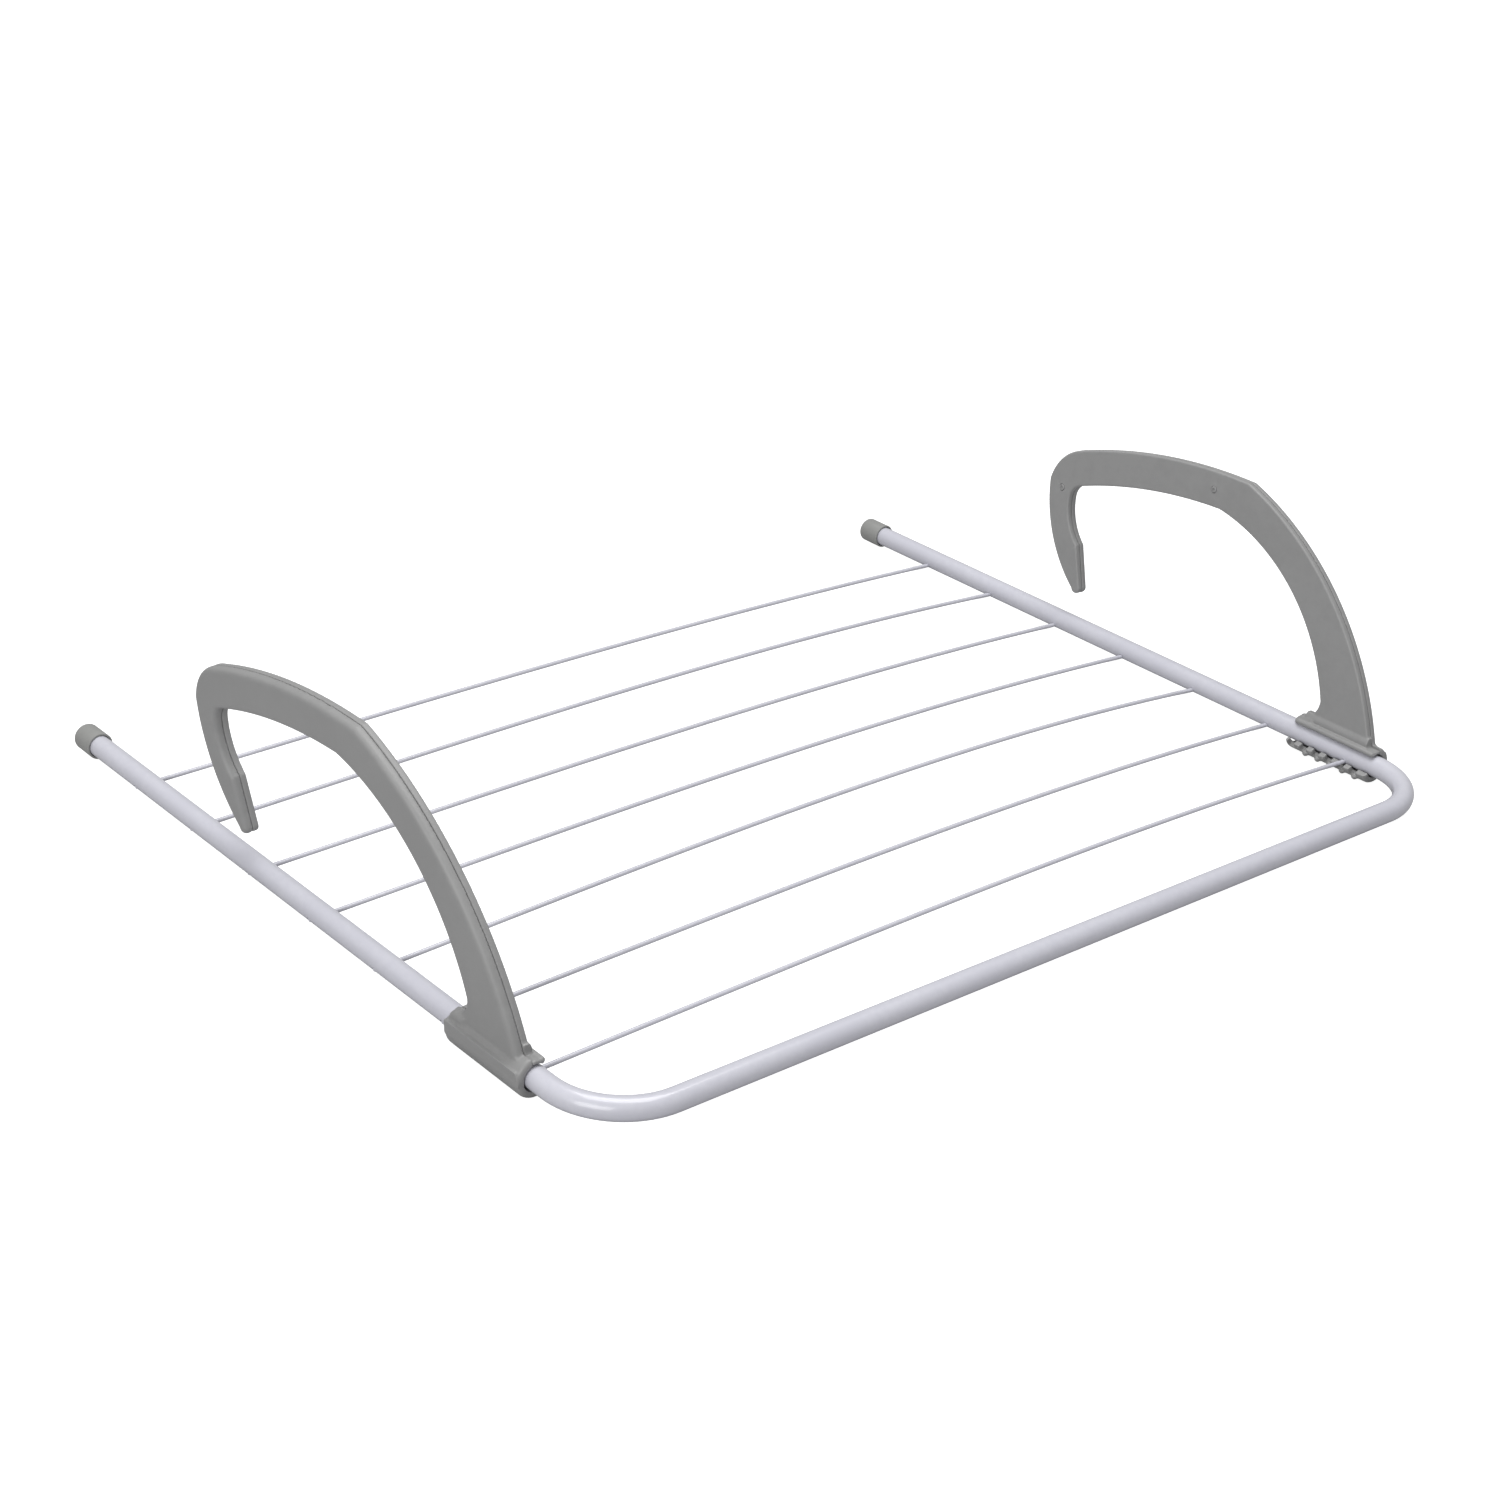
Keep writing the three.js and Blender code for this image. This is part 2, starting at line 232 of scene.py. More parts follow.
def boolean(piece, tool, operation="DIFFERENCE"):
    """Cuts a piece with a tool, joins them or keeps what they share, and removes the tool."""
    only(piece)
    modifier = piece.modifiers.new(operation.lower(), "BOOLEAN")
    modifier.operation = operation
    modifier.solver = "EXACT"
    modifier.object = tool
    bpy.ops.object.modifier_apply(modifier=modifier.name)
    bpy.data.objects.remove(tool)


def join(piece, others):
    """Joins other pieces into one mesh with this one."""
    only(piece)
    for other in others:
        other.select_set(True)
    bpy.ops.object.join()
    return piece


def repeat(piece, count, step):
    """Repeats a piece in a row, as one mesh."""
    only(piece)
    modifier = piece.modifiers.new("row", "ARRAY")
    modifier.count = count
    modifier.use_relative_offset = False
    modifier.use_constant_offset = True
    modifier.constant_offset_displace = piece.matrix_world.to_3x3().inverted() @ step
    bpy.ops.object.modifier_apply(modifier=modifier.name)
    return piece


def copy_of(piece, name):
    """A copy of a piece, with its own mesh."""
    copy = piece.copy()
    copy.data = piece.data.copy()
    copy.name = name
    copy.data.name = name
    bpy.context.scene.collection.objects.link(copy)
    return copy


def settle(piece):
    """Leaves a finished piece with its place in its mesh and smooth shading up to its creases."""
    only(piece)
    bpy.ops.object.transform_apply(location=True, rotation=True, scale=True)
    bpy.ops.object.shade_smooth_by_angle(angle=CREASE_ANGLE)
    return piece


class Pen:
    """Draws a closed outline edge by edge in edit mode, and fills it.

    A side drawing is in the plane of a leg: its first coordinate runs back, its second up.
    A section is across the leg at one station: its first coordinate runs outwards, its second up.
    """

    def __init__(self, name, start, station=0.0, section=False):
        self.section = section
        self.station = station
        self.start = start
        self.at = start
        bpy.ops.object.select_all(action="DESELECT")
        bpy.ops.mesh.primitive_plane_add(size=mm(1), location=self.place(start))
        self.piece = added(name)
        edit(self.piece)
        bpy.ops.mesh.select_mode(type="VERT")
        bpy.ops.mesh.merge(type="CENTER")

    def place(self, point):
        """Where a point of the drawing is in the scene."""
        if self.section:
            return mm(point[0], self.station, point[1])
        return mm(self.station, point[0], point[1])

    def line(self, *points):
        """Straight edges on to each point in turn."""
        for point in points:
            extrude(self.place(point) - self.place(self.at))
            self.at = point

    def arc(self, to, bow, steps):
        """An arc that rises by bow to the left of the way it runs."""
        across = to[0] - self.at[0]
        up = to[1] - self.at[1]
        length = math.hypot(across, up)
        radius = (length * length / 4 + bow * bow) / (2 * bow)
        off = (bow - radius) / length
        middle = ((self.at[0] + to[0]) / 2, (self.at[1] + to[1]) / 2)
        centre = (middle[0] - up * off, middle[1] + across * off)
        bpy.ops.mesh.spin(
            steps=steps,
            angle=2 * math.asin(length / 2 / radius),
            center=self.place(centre),
            axis=(0, -1, 0) if self.section else (1, 0, 0),
        )
        self.at = to

    def slab(self, thickness):
        """Closes the outline, fills it and gives it its thickness across the drawing."""
        self.line(self.start)
        bpy.ops.mesh.select_all(action="SELECT")
        bpy.ops.mesh.remove_doubles(threshold=mm(10 * SAME_PLACE))
        bpy.ops.mesh.edge_face_add()
        extrude(mm(0, thickness, 0) if self.section else mm(thickness, 0, 0))
        finish_edit()
        recalculate_normals(self.piece)
        return self.piece


def polar(radius, angle):
    """A point of a section, by its angle from outwards through up."""
    turn = math.radians(angle)
    return (radius * math.cos(turn), radius * math.sin(turn))


def rod(name, radius, low, high, x, z, sides):
    """A rod along the leg, at x and z in its section."""
    bpy.ops.object.select_all(action="DESELECT")
    bpy.ops.mesh.primitive_cylinder_add(
        vertices=sides,
        radius=mm(radius),
        depth=mm(high - low),
        rotation=(math.pi / 2, 0, 0),
        location=mm(x, (low + high) / 2, z),
    )
    return added(name)


def round_edges(piece, offset, segments, wanted):
    """Rounds the edges of the wanted faces."""
    edit(piece, all_selected=False)
    pick_faces(piece, wanted)
    bpy.ops.mesh.bevel(
        offset=mm(offset), segments=segments, affect="EDGES", clamp_overlap=False
    )
    finish_edit()


# ---- Materials ----
def group(name, inputs, outputs):
    """A shader node group with named float inputs, and named outputs of given types."""
    tree = bpy.data.node_groups.new(name, "ShaderNodeTree")
    for label, value in inputs.items():
        socket = tree.interface.new_socket(label, in_out="INPUT", socket_type="NodeSocketFloat")
        socket.default_value = value
    for label, kind in outputs.items():
        tree.interface.new_socket(label, in_out="OUTPUT", socket_type=kind)
    entry = tree.nodes.new("NodeGroupInput")
    leave = tree.nodes.new("NodeGroupOutput")
    return tree, entry, leave


def math_node(tree, operation, first, second):
    """A math node, each of whose inputs is a socket or a number."""
    node = tree.nodes.new("ShaderNodeMath")
    node.operation = operation
    for socket, value in zip(node.inputs, (first, second)):
        if isinstance(value, bpy.types.NodeSocket):
            tree.links.new(value, socket)
        else:
            socket.default_value = value
    return node.outputs[0]


def noise(tree, scale, detail, roughness=0.5):
    """Fractal noise on Object coordinates, its scale a socket, in cells per metre."""
    coordinates = tree.nodes.new("ShaderNodeTexCoord")
    node = tree.nodes.new("ShaderNodeTexNoise")
    tree.links.new(coordinates.outputs["Object"], node.inputs["Vector"])
    tree.links.new(scale, node.inputs["Scale"])
    node.inputs["Detail"].default_value = detail
    node.inputs["Roughness"].default_value = roughness
    return node.outputs["Fac"]


def ramp(tree, value, low, high):
    """A smooth rise from 0 to 1 as the value goes from low to high."""
    node = tree.nodes.new("ShaderNodeMapRange")
    node.interpolation_type = "SMOOTHSTEP"
    for label, bound in (("Value", value), ("From Min", low), ("From Max", high)):
        if isinstance(bound, bpy.types.NodeSocket):
            tree.links.new(bound, node.inputs[label])
        else:
            node.inputs[label].default_value = bound
    return node.outputs["Result"]


def surface_texture_group():
    """Two sizes of relief: broad ripples, and the fine grain on them."""
    tree, entry, leave = group(
        "surface_texture",
        {"Ripple Scale": 600, "Ripple": 1, "Grain Scale": 4000, "Grain": 0.3},
        {"Height": "NodeSocketFloat"},
    )
    ripple = noise(tree, entry.outputs["Ripple Scale"], 2)
    grain = noise(tree, entry.outputs["Grain Scale"], 3, 0.6)
    broad = math_node(tree, "MULTIPLY", ripple, entry.outputs["Ripple"])
    fine = math_node(tree, "MULTIPLY", grain, entry.outputs["Grain"])
    tree.links.new(math_node(tree, "ADD", broad, fine), leave.inputs["Height"])
    return tree


def handling_group():
    """Soft patches left by handling, with faint rubbed streaks, from 0 to 1."""
    tree, entry, leave = group(
        "handling_marks", {"Patch Scale": 25, "Streak Scale": 180}, {"Mask": "NodeSocketFloat"}
    )
    patches = noise(tree, entry.outputs["Patch Scale"], 3)
    streaks = noise(tree, entry.outputs["Streak Scale"], 4, 0.65)
    mixed = math_node(tree, "MULTIPLY", patches, streaks)
    tree.links.new(ramp(tree, mixed, 0.14, 0.36), leave.inputs["Mask"])
    return tree


def edge_wear_group():
    """Where the corners have been rubbed, from 0 to 1, broken up by noise."""
    tree, entry, leave = group(
        "edge_wear", {"Low": 0.52, "High": 0.6, "Breakup Scale": 300}, {"Mask": "NodeSocketFloat"}
    )
    geometry = tree.nodes.new("ShaderNodeNewGeometry")
    corners = ramp(
        tree, geometry.outputs["Pointiness"], entry.outputs["Low"], entry.outputs["High"]
    )
    breakup = ramp(tree, noise(tree, entry.outputs["Breakup Scale"], 3), 0.3, 0.65)
    tree.links.new(math_node(tree, "MULTIPLY", corners, breakup), leave.inputs["Mask"])
    return tree


SURFACE_TEXTURE = surface_texture_group()
HANDLING = handling_group()
EDGE_WEAR = edge_wear_group()


def placed_group(tree, shared, values):
    """A shared group placed in a material with its own values; returns its output."""
    node = tree.nodes.new("ShaderNodeGroup")
    node.node_tree = shared
    for label, value in values.items():
        node.inputs[label].default_value = value
    return node.outputs[0]


def mixed_colour(tree, factor, first, second):
    """A mix of two colours, each of them a socket or a plain tone."""
    node = tree.nodes.new("ShaderNodeMix")
    node.data_type = "RGBA"
    tree.links.new(factor, node.inputs["Factor"])
    for label, colour in (("A", first), ("B", second)):
        socket = [s for s in node.inputs if s.name == label and s.type == "RGBA"][0]
        if isinstance(colour, bpy.types.NodeSocket):
            tree.links.new(colour, socket)
        else:
            socket.default_value = (*colour, 1)
    return [s for s in node.outputs if s.type == "RGBA"][0]


def material(name):
    """A new material, with its node tree and its Principled shader."""
    made = bpy.data.materials.new(name)
    made.use_nodes = True
    return made, made.node_tree, made.node_tree.nodes["Principled BSDF"]


def uneven_roughness(tree, shader, marks, lowest, spread):
    """Roughness that rises from its lowest where the surface has been handled."""
    roughness = math_node(tree, "MULTIPLY_ADD", marks, spread)
    roughness.node.inputs[2].default_value = lowest
    tree.links.new(roughness, shader.inputs["Roughness"])


def relief(tree, shader, height, distance, strength):
    """Bump from a height, as deep as a distance in metres."""
    bump = tree.nodes.new("ShaderNodeBump")
    bump.inputs["Distance"].default_value = distance
    bump.inputs["Strength"].default_value = strength
    tree.links.new(height, bump.inputs["Height"])
    tree.links.new(bump.outputs["Normal"], shader.inputs["Normal"])


def powder_coat():
    """White semi-gloss powder coat: a cool white with a faint orange peel."""
    made, tree, shader = material("white_powder_coat")
    marks = placed_group(tree, HANDLING, {"Patch Scale": 18, "Streak Scale": 240})
    colour = mixed_colour(tree, marks, (0.528, 0.528, 0.588), (0.556, 0.556, 0.612))
    tree.links.new(colour, shader.inputs["Base Color"])
    uneven_roughness(tree, shader, marks, 0.32, 0.06)
    shader.inputs["IOR"].default_value = 1.5
    shader.inputs["Coat Weight"].default_value = 0.6
    shader.inputs["Coat Roughness"].default_value = 0.09
    height = placed_group(
        tree, SURFACE_TEXTURE,
        {"Ripple Scale": 420, "Ripple": 1.0, "Grain Scale": 2600, "Grain": 0.12},
    )
    relief(tree, shader, height, mm(0.05), 0.35)
    return made


def moulded_plastic(name, tone, worn, lowest_roughness):
    """Satin moulded plastic with a spark-eroded grain and slightly rubbed corners."""
    made, tree, shader = material(name)
    marks = placed_group(tree, HANDLING, {"Patch Scale": 22, "Streak Scale": 160})
    wear = placed_group(tree, EDGE_WEAR, {"Low": 0.51, "High": 0.62, "Breakup Scale": 350})
    darker = tuple(channel * 0.94 for channel in tone)
    body = mixed_colour(tree, marks, darker, tone)
    tree.links.new(mixed_colour(tree, wear, body, worn), shader.inputs["Base Color"])
    uneven_roughness(tree, shader, marks, lowest_roughness, 0.09)
    shader.inputs["IOR"].default_value = 1.49
    height = placed_group(
        tree, SURFACE_TEXTURE,
        {"Ripple Scale": 900, "Ripple": 0.5, "Grain Scale": 3600, "Grain": 1.0},
    )
    relief(tree, shader, height, mm(0.05), 0.45)
    return made


WHITE_COAT = powder_coat()
GREY_PLASTIC = moulded_plastic("grey_arm_plastic", (0.272, 0.272, 0.271), (0.33, 0.331, 0.33), 0.44)
CAP_PLASTIC = moulded_plastic("grey_cap_plastic", (0.262, 0.264, 0.256), (0.31, 0.312, 0.305), 0.5)


def dress(piece, made, body, slot, *nodes):
    """Gives a finished piece its material and its body, and hides the nodes it stands for. The slot
    is not used.
    """
    piece.data.materials.clear()
    piece.data.materials.append(made)
    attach(piece, body)
    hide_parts(*nodes)


# ---- Tray pieces ----
def quarter_bend(centre_x, centre_y):
    """Turns the selected ring of the tube a quarter turn about a bend's centre."""
    bpy.ops.mesh.spin(
        steps=BEND_STEPS,
        angle=-math.pi / 2,
        center=(centre_x, centre_y, leg_z),
        axis=(0, 0, 1),
    )


def bent_tube():
    """A ring of edges drawn along the left leg, round the bends and back along the right leg."""
    bpy.ops.object.select_all(action="DESELECT")
    bpy.ops.mesh.primitive_circle_add(
        vertices=TUBE_SIDES,
        radius=mm(TUBE_RADIUS),
        rotation=(math.pi / 2, 0, 0),
        location=(left_leg_x, leg_end_y, leg_z),
    )
    tube = added("bent_frame_tube")
    edit(tube)
    bpy.ops.mesh.select_mode(type="EDGE")
    bpy.ops.mesh.select_all(action="SELECT")
    bend_y = front_y + mm(BEND_RADIUS)
    stations = [leg_end_y]
    for number in range(1, len(WIRE_CROWNS) + 1):
        stations.append(wire_y(number) + mm(DRILL_COLLAR))
        stations.append(wire_y(number) - mm(DRILL_COLLAR))
    stations.append(bend_y)
    steps = [after - before for before, after in zip(stations, stations[1:])]
    for step in steps:
        extrude((0, step, 0))
    quarter_bend(left_leg_x + mm(BEND_RADIUS), bend_y)
    extrude((right_leg_x - left_leg_x - 2 * mm(BEND_RADIUS), 0, 0))
    quarter_bend(right_leg_x - mm(BEND_RADIUS), bend_y)
    for step in reversed(steps):
        extrude((0, -step, 0))
    finish_edit()
    recalculate_normals(tube)
    wall = tube.modifiers.new("wall", "SOLIDIFY")
    wall.thickness = mm(TUBE_WALL)
    wall.offset = -1
    only(tube)
    bpy.ops.object.modifier_apply(modifier=wall.name)
    boolean(tube, wire_drills())
    return settle(tube)


def wire_drills():
    """Rods that bore the wire holes through both walls of both legs."""
    drills = []
    reach = mm(TUBE_RADIUS + DRILL_OVERRUN)
    for number in range(1, len(WIRE_CROWNS) + 1):
        for leg_x in (left_leg_x, right_leg_x):
            bpy.ops.object.select_all(action="DESELECT")
            bpy.ops.mesh.primitive_cylinder_add(
                vertices=WIRE_SIDES,
                radius=mm(WIRE_RADIUS + DRILL_CLEARANCE),
                depth=2 * reach,
                rotation=(0, math.pi / 2, 0),
                location=(leg_x, wire_y(number), leg_z - mm(WIRE_DROP)),
            )
            drills.append(added("wire_drill"))
    return join(drills[0], drills[1:])


def drying_wire(number):
    """A wire drawn step by step: straight in the legs, and crowned a little between them."""
    crown = WIRE_CROWNS[number - 1]
    low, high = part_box(f"drying_wire_{number}")
    free = (right_leg_x - left_leg_x) / 2 - mm(TUBE_RADIUS)

    def rise(across):
        return mm(crown) * (1 - across * across) * (1 + WIRE_SKEW * across)

    bpy.ops.object.select_all(action="DESELECT")
    bpy.ops.mesh.primitive_circle_add(
        vertices=WIRE_SIDES,
        radius=mm(WIRE_RADIUS),
        fill_type="NGON",
        rotation=(0, math.pi / 2, 0),
        location=(low.x, wire_y(number), leg_z - mm(WIRE_DROP)),
    )
    wire = added(f"white_wire_{number}")
    edit(wire)
    extrude((-free - low.x, 0, 0))
    for step in range(WIRE_STEPS):
        across = 2 * step / WIRE_STEPS - 1
        ahead = across + 2 / WIRE_STEPS
        extrude((free * (ahead - across), 0, rise(ahead) - rise(across)))
    extrude((high.x - free, 0, 0))
    finish_edit()
    recalculate_normals(wire)
    round_edges(wire, WIRE_END_ROUNDING, 3, lambda place, normal: abs(normal.x) > FACING)
    return settle(wire)


def end_cap():
    """A push-on cup with a rounded end, modelled on the left leg."""
    cap_low, cap_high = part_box("left_end_cap")
    bpy.ops.object.select_all(action="DESELECT")
    bpy.ops.mesh.primitive_cylinder_add(
        vertices=TUBE_SIDES,
        radius=mm(CAP_RADIUS),
        depth=mm(CAP_LENGTH),
        rotation=(math.pi / 2, 0, 0),
        location=(left_leg_x, (cap_low.y + cap_high.y) / 2, leg_z),
    )
    cap = added("left_tube_cap")
    round_edges(cap, CAP_ROUNDING, 8, lambda place, normal: normal.y > FACING)
    edit(cap, all_selected=False)
    pick_faces(cap, lambda place, normal: normal.y < -FACING)
    bpy.ops.mesh.inset(thickness=mm(CAP_RADIUS - TUBE_RADIUS - CAP_CLEARANCE))
    extrude(mm(0, CAP_LENGTH - CAP_END, 0))
    finish_edit()
    recalculate_normals(cap)
    round_edges(
        cap, CAP_MOUTH_ROUNDING, 3,
        lambda place, normal: normal.y < -FACING and place.y < cap_low.y + mm(CAP_MOUTH_MARGIN),
    )
    return settle(cap)


# ---- Hook arm pieces, drawn for the right-hand leg ----
def arm_blade(name, low, high, rounding, outer_side):
    """A slab of the hook's outline, between two planes across it, rounded on one side."""
    pen = Pen(name, (47.0, 5.0), station=low)
    pen.arc((170.5, 134.5), 21.5, 40)
    pen.arc((306.0, 114.0), 6.0, 28)
    pen.arc((329.5, 89.0), 5.0, 16)
    pen.arc((297.0, 24.0), 7.8, 20)
    pen.arc((290.4, 25.4), 3.2, 12)
    pen.line((298.5, 52.5))
    pen.arc((310.8, 80.0), -3.2, 12)
    pen.arc((303.5, 91.0), -2.2, 10)
    pen.arc((189.5, 112.3), -4.6, 20)
    pen.arc((88.8, 24.0), -19.3, 34)
    pen.arc((96.0, 12.0), -2.2, 8)
    pen.line((96.0, 5.0))
    blade = pen.slab(high - low)
    round_edges(blade, rounding, 5, lambda place, normal: normal.x * outer_side > FACING)
    return blade


def soft_moulding(piece):
    """Melts the overlapping solids of a moulding into one skin with soft inside corners."""
    only(piece)
    skin = piece.modifiers.new("skin", "REMESH")
    skin.mode = "VOXEL"
    skin.voxel_size = mm(VOXEL)
    bpy.ops.object.modifier_apply(modifier=skin.name)
    soften = piece.modifiers.new("soften", "SMOOTH")
    soften.factor = SOFTENING
    soften.iterations = SOFTENING_PASSES
    bpy.ops.object.modifier_apply(modifier=soften.name)
    thin = piece.modifiers.new("thin", "DECIMATE")
    thin.ratio = KEPT_FACES
    bpy.ops.object.modifier_apply(modifier=thin.name)
    return piece


def clip_wall():
    """The clip's outer wall: it stands up to a crease that climbs towards the front, and above
    the crease a hollow fillet runs in to the blade. Its ends follow the blade's edges."""
    top = CREASE_FRONT + 3.5
    pen = Pen("clip_wall", (3.0, 0.0), station=CLIP_FRONT, section=True)
    pen.line((3.0, top), (SHELL_OUTER - 0.4, top))
    pen.arc((CREASE_OUT, CREASE_FRONT), -1.4, 8)
    pen.line((CLIP_RADIUS, 3.0), (CLIP_RADIUS, 0.0))
    wall = pen.slab(CLIP_BACK - CLIP_FRONT)
    for vertex in wall.data.vertices:
        place = wall.matrix_world @ vertex.co
        vertex.select = place.y > mm(CLIP_BACK - 1) and place.z > mm(5)
    only(wall)
    bpy.ops.object.mode_set(mode="EDIT")
    bpy.ops.mesh.select_mode(type="VERT")
    bpy.ops.transform.translate(value=mm(0, 0, -CREASE_FALL))
    finish_edit()
    ends = Pen("clip_ends", (CLIP_FRONT, -1.0), station=2.0)
    ends.line((CLIP_FRONT, 1.5))
    ends.arc((50.5, 10.5), 1.8, 8)
    ends.line((57.0, 26.0), (90.0, 26.0))
    ends.arc((96.5, 13.0), -1.6, 8)
    ends.arc((CLIP_BACK, 4.0), 2.0, 8)
    ends.line((CLIP_BACK, -1.0))
    boolean(wall, ends.slab(10.0), "INTERSECT")
    return wall


def heel_block(name, low, high, outer_side):
    """The rounded block behind the blade, over the rear end of the clip."""
    pen = Pen(name, (89.0, 3.0), station=low)
    pen.line((89.0, 12.6), (95.0, 12.0))
    pen.arc((101.5, 9.8), 0.8, 8)
    pen.arc((CLIP_BACK, 4.0), 0.9, 6)
    pen.line((CLIP_BACK, 0.5), (89.0, 0.5))
    block = pen.slab(high - low)
    round_edges(block, HEEL_ROUNDING, 4, lambda place, normal: normal.x * outer_side > FACING)
    return block


def clip_bore(sides):
    """The rod that bores the clip for the leg, from past one end to past the other."""
    return rod(
        "bore", CLIP_BORE, CLIP_FRONT - BORE_OVERRUN, CLIP_BACK + BORE_OVERRUN, 0, 0, sides
    )


def clip_ring():
    """The ring round the leg, cut away from the blade over the top down to the comb."""
    ring = rod("clip_ring", CLIP_RADIUS, CLIP_FRONT, CLIP_BACK, 0, 0, CLIP_SIDES)
    round_edges(ring, CLIP_ROUNDING, 5, lambda place, normal: abs(normal.y) > FACING)
    boolean(ring, clip_bore(CLIP_SIDES))
    pen = Pen("opening", (SHELL_SEAM, CUT_REACH), station=CLIP_FRONT - BORE_OVERRUN, section=True)
    pen.line(
        (SHELL_SEAM, 0.0), (0.0, 0.0), polar(CUT_REACH, COMB_TOP_ANGLE), (-CUT_REACH, CUT_REACH)
    )
    boolean(ring, pen.slab(CLIP_BACK - CLIP_FRONT + 2 * BORE_OVERRUN))
    notch = Pen(
        "notches", polar(NOTCH_INNER, NOTCH_TOP_ANGLE),
        station=COMB_FIRST - COMB_NOTCH_WIDTH / 2, section=True,
    )
    notch.line(
        polar(NOTCH_OUTER, NOTCH_TOP_ANGLE),
        polar(NOTCH_OUTER, COMB_ROOT_ANGLE),
        polar(NOTCH_INNER, COMB_ROOT_ANGLE),
    )
    notches = repeat(notch.slab(COMB_NOTCH_WIDTH), COMB_NOTCHES, mm(0, COMB_PITCH, 0))
    boolean(ring, notches)
    return ring


def comb_nubs():
    """The scallops under the comb, one below each notch but the last."""
    x, z = polar(CLIP_RADIUS - NUB_SUNK, NUB_ANGLE)
    bpy.ops.object.select_all(action="DESELECT")
    bpy.ops.mesh.primitive_uv_sphere_add(
        segments=20, ring_count=12, radius=mm(NUB_RADIUS), location=mm(x, COMB_FIRST, z)
    )
    return repeat(added("comb_nubs"), COMB_NOTCHES - 1, mm(0, COMB_PITCH, 0))


def peg_rod(name, radius, low, high, y, z):
    """A rod across the arm, where a peg goes."""
    bpy.ops.object.select_all(action="DESELECT")
    bpy.ops.mesh.primitive_cylinder_add(
        vertices=PEG_SIDES,
        radius=mm(radius),
        depth=mm(high - low),
        rotation=(0, math.pi / 2, 0),
        location=mm((low + high) / 2, y, z),
    )
    return added(name)


def outer_shell():
    """The outer half: the blade's rounded outside, the clip round and under the leg, the comb
    that drops over a wire, and the pegs that hold the plate."""
    shell = arm_blade("right_arm_shell", SHELL_SEAM, SHELL_OUTER, SHELL_ROUNDING, 1)
    heel = heel_block("heel", SHELL_SEAM, HEEL_OUTER, 1)
    join(shell, [clip_wall(), heel, clip_ring(), comb_nubs()])
    soft_moulding(shell)
    boolean(shell, clip_bore(BORE_SIDES))
    for y, z in PEGS:
        peg = peg_rod("peg", PEG_RADIUS, PLATE_INNER - PEG_PROUD, SHELL_SEAM + PEG_ROOT, y, z)
        edit(peg, all_selected=False)
        pick_faces(peg, lambda place, normal: normal.x < -FACING)
        bpy.ops.mesh.bevel(offset=mm(PEG_ROUNDING), segments=3, affect="EDGES")
        finish_edit()
        edit(peg, all_selected=False)
        pick_faces(peg, lambda place, normal: normal.x < -FACING)
        bpy.ops.mesh.inset(thickness=mm(PEG_RIM))
        extrude(mm(PEG_DIMPLE, 0, 0))
        finish_edit()
        boolean(shell, peg, "UNION")
    return shell


def lip():
    """The lip that closes over the top of the leg, with a rounded ridge along it and a hollow
    fillet between the ridge and the blade."""
    pen = Pen("lip", polar(CLIP_BORE, LIP_START_ANGLE), station=CLIP_FRONT, section=True)
    for angle in range(LIP_START_ANGLE, LIP_END_ANGLE + 1, LIP_STEP_ANGLE):
        pen.line(polar(LIP_RADIUS, angle))
    for angle in range(LIP_END_ANGLE, LIP_START_ANGLE, -LIP_STEP_ANGLE):
        pen.line(polar(CLIP_BORE, angle))
    plate_lip = pen.slab(LIP_BACK - CLIP_FRONT)
    round_edges(plate_lip, LIP_ROUNDING, 3, lambda place, normal: abs(normal.y) > FACING)
    x, z = polar(LIP_RADIUS - RIDGE_SUNK, RIDGE_ANGLE)
    ridge = rod("ridge", RIDGE_RADIUS, CLIP_FRONT, LIP_BACK, x, z, RIDGE_SIDES)
    round_edges(ridge, RIDGE_ROUNDING, 5, lambda place, normal: abs(normal.y) > FACING)
    fillet = Pen(
        "lip_fillet", (PLATE_SEAM, 6.0), station=CLIP_FRONT + FILLET_SHORTER, section=True
    )
    fillet.line((PLATE_SEAM, 15.0), (PLATE_INNER + 0.2, 15.0))
    fillet.arc((FILLET_FOOT, 9.6), -0.7, 6)
    fillet.line((FILLET_FOOT, 6.0))
    return [plate_lip, ridge, fillet.slab(CLIP_BACK - CLIP_FRONT - 2 * FILLET_SHORTER)]


def inner_plate():
    """The inner half: a thin plate with the lip, pierced for the pegs."""
    plate = arm_blade("right_arm_plate", PLATE_INNER, PLATE_SEAM, PLATE_ROUNDING, -1)
    heel = heel_block("plate_heel", HEEL_INNER, PLATE_SEAM, -1)
    join(plate, [heel, *lip()])
    soft_moulding(plate)
    boolean(plate, clip_bore(BORE_SIDES))
    for y, z in PEGS:
        hole = peg_rod("peg_hole", PEG_RADIUS + PEG_GAP, PLATE_INNER - 3, SHELL_SEAM + 1, y, z)
        boolean(plate, hole)
    return plate


def fit_to_leg(piece, joint_name, side, shift):
    """Leans a piece of an arm outwards about its leg, and moves it to its place along the leg."""
    joint = [j for j in frame["joints"] if j["name"] == joint_name][0]
    hinge = Vector(joint["pos_m"])
    place = Vector((hinge.x, front_y + mm(shift), hinge.z))
    mirror = Matrix.Diagonal((side, 1, 1, 1))
    lean = Matrix.Rotation(side * ARM_LEAN, 4, "Y")
    piece.matrix_world = Matrix.Translation(place) @ lean @ mirror @ piece.matrix_world
    only(piece)
    bpy.ops.object.transform_apply(location=True, rotation=True, scale=True)
    recalculate_normals(piece)
    return settle(piece)


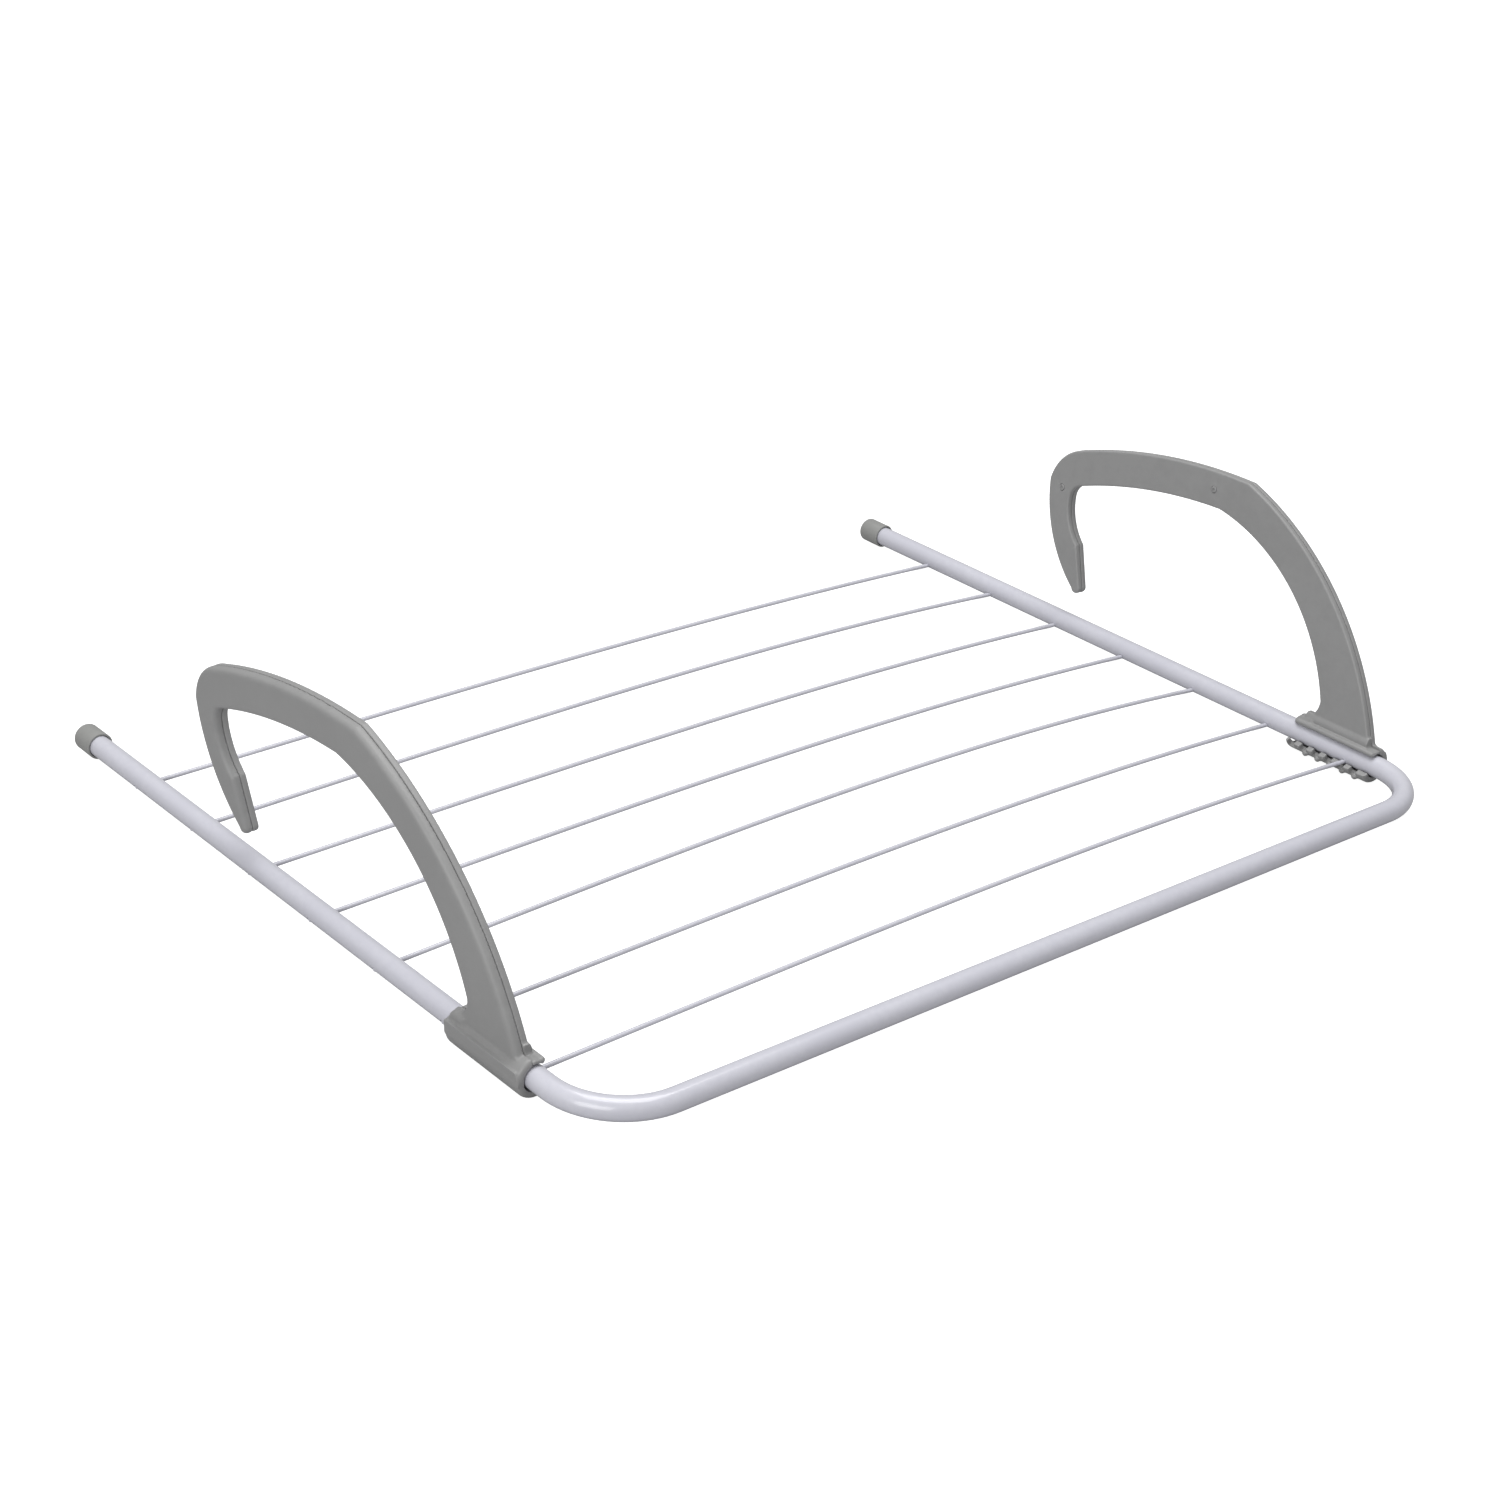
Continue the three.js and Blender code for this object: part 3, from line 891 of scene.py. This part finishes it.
# ---- The airer ----
dress(bent_tube(), WHITE_COAT, "tray", "white_powder_coat", "frame_tube")
for wire_number in range(1, len(WIRE_CROWNS) + 1):
    wire_piece = drying_wire(wire_number)
    dress(wire_piece, WHITE_COAT, "tray", "white_powder_coat", f"drying_wire_{wire_number}")

left_cap = end_cap()
right_cap = copy_of(left_cap, "right_tube_cap")
right_cap.location.x = right_leg_x - left_leg_x
settle(right_cap)
dress(left_cap, CAP_PLASTIC, "tray", "grey_plastic", "left_end_cap")
dress(right_cap, CAP_PLASTIC, "tray", "grey_plastic", "right_end_cap")

for part, make in (("shell", outer_shell), ("plate", inner_plate)):
    right_half = make()
    left_half = copy_of(right_half, f"left_arm_{part}")
    fit_to_leg(right_half, "right_fold", 1, 0.0)
    fit_to_leg(left_half, "left_fold", -1, COMB_PITCH)
    dress(right_half, GREY_PLASTIC, "right_hook", "grey_plastic", f"right_hook_{part}")
    dress(left_half, GREY_PLASTIC, "left_hook", "grey_plastic", f"left_hook_{part}")


# ---- Camera, light and floor ----
CAMERA_PLACE = (-0.9501, -1.0806, 0.7179)
CAMERA_TURN = math.radians(-41.03)
CAMERA_ELEVATION = math.radians(26.04)
CAMERA_ROLL = math.radians(3.17)
LENS = 66.92
SENSOR_WIDTH = 36
LENS_SHIFT = (-0.0029, 0.0063)
FLOOR_SIZE = 30
FLOOR_DROP = 0.2
FLOOR_GLOW = 0.9
WORLD_STRENGTH = 0.42


def camera():
    """The camera of the main view: in front of the tray, to its left and above it."""
    data = bpy.data.cameras.new("camera")
    data.lens = LENS
    data.sensor_width = SENSOR_WIDTH
    data.shift_x, data.shift_y = LENS_SHIFT
    seen_by = bpy.data.objects.new("camera", data)
    bpy.context.scene.collection.objects.link(seen_by)
    turn = Euler((0, 0, CAMERA_TURN)).to_matrix()
    tilt = Euler((math.pi / 2 - CAMERA_ELEVATION, 0, 0)).to_matrix()
    roll = Euler((0, 0, CAMERA_ROLL)).to_matrix()
    seen_by.matrix_world = Matrix.Translation(CAMERA_PLACE) @ (turn @ tilt @ roll).to_4x4()
    bpy.context.scene.camera = seen_by


def softbox(name, place, target, size, power):
    """A rectangular light of a size in metres and a power in watts, aimed at a target."""
    data = bpy.data.lights.new(name, "AREA")
    data.shape = "RECTANGLE"
    data.size, data.size_y = size
    data.energy = power
    lamp = bpy.data.objects.new(name, data)
    bpy.context.scene.collection.objects.link(lamp)
    lamp.location = place
    lamp.rotation_euler = (Vector(target) - Vector(place)).to_track_quat("-Z", "Y").to_euler()


def pale_floor():
    """A pale floor just under the tray, lit up to white where the camera sees it."""
    bpy.ops.object.select_all(action="DESELECT")
    floor_z = cad_box[0].z - mm(FLOOR_DROP)
    bpy.ops.mesh.primitive_plane_add(size=FLOOR_SIZE, location=(0, 0, floor_z))
    floor = added("studio_floor")
    made, tree, shader = material("pale_floor")
    shader.inputs["Base Color"].default_value = (0.42, 0.42, 0.425, 1)
    shader.inputs["Roughness"].default_value = 0.9
    shader.inputs["Specular IOR Level"].default_value = 0.1
    shader.inputs["Emission Color"].default_value = (1, 1, 1, 1)
    path = tree.nodes.new("ShaderNodeLightPath")
    lift = math_node(tree, "MULTIPLY", path.outputs["Is Camera Ray"], FLOOR_GLOW)
    tree.links.new(lift, shader.inputs["Emission Strength"])
    floor.data.materials.append(made)


def world_light():
    """An even white light from all round, and plain colours in the picture."""
    world = bpy.data.worlds.new("studio")
    world.use_nodes = True
    background = world.node_tree.nodes["Background"]
    background.inputs["Color"].default_value = (1.0, 1.0, 1.0, 1)
    background.inputs["Strength"].default_value = WORLD_STRENGTH
    bpy.context.scene.world = world
    bpy.context.scene.view_settings.view_transform = "Standard"


camera()
pale_floor()
world_light()
softbox("overhead", (0.1, 0.1, 2.2), (0, 0, 0), (1.6, 1.6), 40)
softbox("side_fill", (-2.4, -1.1, 1.1), (0, 0, 0.05), (1.8, 1.4), 34)
